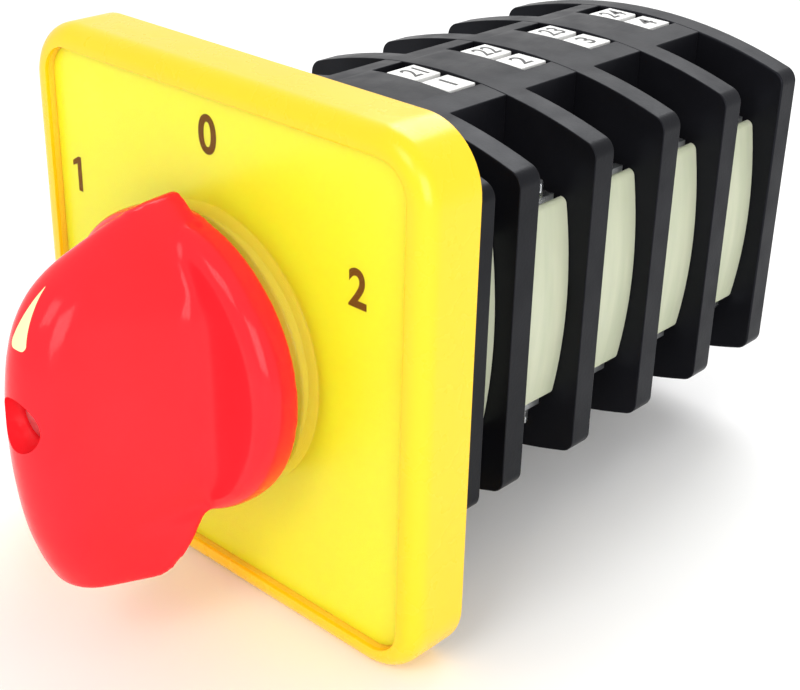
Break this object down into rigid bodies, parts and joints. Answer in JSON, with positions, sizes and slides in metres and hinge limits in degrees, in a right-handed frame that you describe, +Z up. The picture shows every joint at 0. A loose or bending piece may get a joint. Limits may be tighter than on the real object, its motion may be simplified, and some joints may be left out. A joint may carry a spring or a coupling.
{
  "type": "rotary cam switch",
  "caption": "Panel-mounted rotary cam switch: square yellow plate, red pistol-type knob, detent latch and stacked contact stages.",
  "frame": {"origin": "centre of the square plate's rear face, where the shaft's axis crosses the panel's plane", "axes": "+Y along the shaft from the knob to the rear, +X to the right seen from the front, +Z up through the knob's pointer at its middle position"},
  "size_m": [0.064, 0.1129, 0.064],
  "materials": {
    "yellow_plastic": "moulded, glossy",
    "yellow_legend": "smooth sheet",
    "clear_plastic": "clear, glossy",
    "red_plastic": "moulded, glossy",
    "white_inlay": "smooth",
    "zinc_steel": "zinc plated",
    "bright_steel": "ground",
    "brass": "turned",
    "black_plastic": "moulded, semi-matt",
    "white_nylon": "moulded",
    "spring_steel": "polished wire and strip",
    "contact_brass": "stamped, silver tips",
    "pale_nylon": "moulded, slightly translucent",
    "white_label": "printed",
    "sintered_bronze": "sintered"
  },
  "bodies": {
    "housing": {"front_frame": "yellow_plastic", "legend_plate": "yellow_legend", "clear_cover": "clear_plastic", "fixing_screws": "zinc_steel", "fixing_inserts": "brass", "latch_housing": "black_plastic", "detent_spring_left": "spring_steel", "detent_spring_right": "spring_steel", "stop_pins": "bright_steel", "latch_spacer": "black_plastic", "stage_housing_1": "black_plastic", "stage_housing_2": "black_plastic", "stage_housing_3": "black_plastic", "stage_housing_4": "black_plastic", "fixed_contacts_1": "contact_brass", "fixed_contacts_2": "contact_brass", "fixed_contacts_3": "contact_brass", "fixed_contacts_4": "contact_brass", "side_covers_left": "pale_nylon", "side_covers_right": "pale_nylon", "terminal_clamps": "zinc_steel", "terminal_screws": "zinc_steel", "label_tiles": "white_label", "end_plate": "black_plastic", "rear_bush": "sintered_bronze", "tie_bolts": "zinc_steel", "tie_nuts": "zinc_steel"},
    "rotor": {"knob": "red_plastic", "knob_marker": "white_inlay", "knob_screw": "zinc_steel", "shaft": "bright_steel", "star_wheel": "white_nylon", "cam_1": "white_nylon", "cam_2": "white_nylon", "cam_3": "white_nylon", "cam_4": "white_nylon"},
    "plunger_left_1": {"plunger_left_1": "white_nylon", "bridge_left_1": "contact_brass", "spring_left_1": "spring_steel"},
    "plunger_right_1": {"plunger_right_1": "white_nylon", "bridge_right_1": "contact_brass", "spring_right_1": "spring_steel"},
    "plunger_left_2": {"plunger_left_2": "white_nylon", "bridge_left_2": "contact_brass", "spring_left_2": "spring_steel"},
    "plunger_right_2": {"plunger_right_2": "white_nylon", "bridge_right_2": "contact_brass", "spring_right_2": "spring_steel"},
    "plunger_left_3": {"plunger_left_3": "white_nylon", "bridge_left_3": "contact_brass", "spring_left_3": "spring_steel"},
    "plunger_right_3": {"plunger_right_3": "white_nylon", "bridge_right_3": "contact_brass", "spring_right_3": "spring_steel"},
    "plunger_left_4": {"plunger_left_4": "white_nylon", "bridge_left_4": "contact_brass", "spring_left_4": "spring_steel"},
    "plunger_right_4": {"plunger_right_4": "white_nylon", "bridge_right_4": "contact_brass", "spring_right_4": "spring_steel"}
  },
  "joints": [
    {"name": "knob_turn", "type": "hinge", "parent": "housing", "child": "rotor", "pos_m": [0, 0, 0], "axis": [0, 1, 0], "range_deg": [-60, 60], "deforming": ["detent_spring_left", "detent_spring_right"]},
    {"name": "plunger_left_1_slide", "type": "slide", "parent": "housing", "child": "plunger_left_1", "axis": [1, 0, 0], "range_m": [-0.0019, 0.0019], "deforming": ["spring_left_1"]},
    {"name": "plunger_right_1_slide", "type": "slide", "parent": "housing", "child": "plunger_right_1", "axis": [1, 0, 0], "range_m": [-0.0019, 0.0019], "deforming": ["spring_right_1"]},
    {"name": "plunger_left_2_slide", "type": "slide", "parent": "housing", "child": "plunger_left_2", "axis": [1, 0, 0], "range_m": [-0.0019, 0.0019], "deforming": ["spring_left_2"]},
    {"name": "plunger_right_2_slide", "type": "slide", "parent": "housing", "child": "plunger_right_2", "axis": [1, 0, 0], "range_m": [-0.0019, 0.0019], "deforming": ["spring_right_2"]},
    {"name": "plunger_left_3_slide", "type": "slide", "parent": "housing", "child": "plunger_left_3", "axis": [1, 0, 0], "range_m": [-0.0019, 0.0019], "deforming": ["spring_left_3"]},
    {"name": "plunger_right_3_slide", "type": "slide", "parent": "housing", "child": "plunger_right_3", "axis": [1, 0, 0], "range_m": [-0.0019, 0.0019], "deforming": ["spring_right_3"]},
    {"name": "plunger_left_4_slide", "type": "slide", "parent": "housing", "child": "plunger_left_4", "axis": [1, 0, 0], "range_m": [-0.0019, 0.0019], "deforming": ["spring_left_4"]},
    {"name": "plunger_right_4_slide", "type": "slide", "parent": "housing", "child": "plunger_right_4", "axis": [1, 0, 0], "range_m": [-0.0019, 0.0019], "deforming": ["spring_right_4"]}
  ],
  "couplings": [
    {"joint": "plunger_left_1_slide", "follows": "knob_turn", "m_per_rad": -0.0017189},
    {"joint": "plunger_right_1_slide", "follows": "knob_turn", "m_per_rad": -0.0017189},
    {"joint": "plunger_left_2_slide", "follows": "knob_turn", "m_per_rad": -0.0017189},
    {"joint": "plunger_right_2_slide", "follows": "knob_turn", "m_per_rad": -0.0017189},
    {"joint": "plunger_left_3_slide", "follows": "knob_turn", "m_per_rad": -0.0017189},
    {"joint": "plunger_right_3_slide", "follows": "knob_turn", "m_per_rad": -0.0017189},
    {"joint": "plunger_left_4_slide", "follows": "knob_turn", "m_per_rad": -0.0017189},
    {"joint": "plunger_right_4_slide", "follows": "knob_turn", "m_per_rad": -0.0017189}
  ]
}
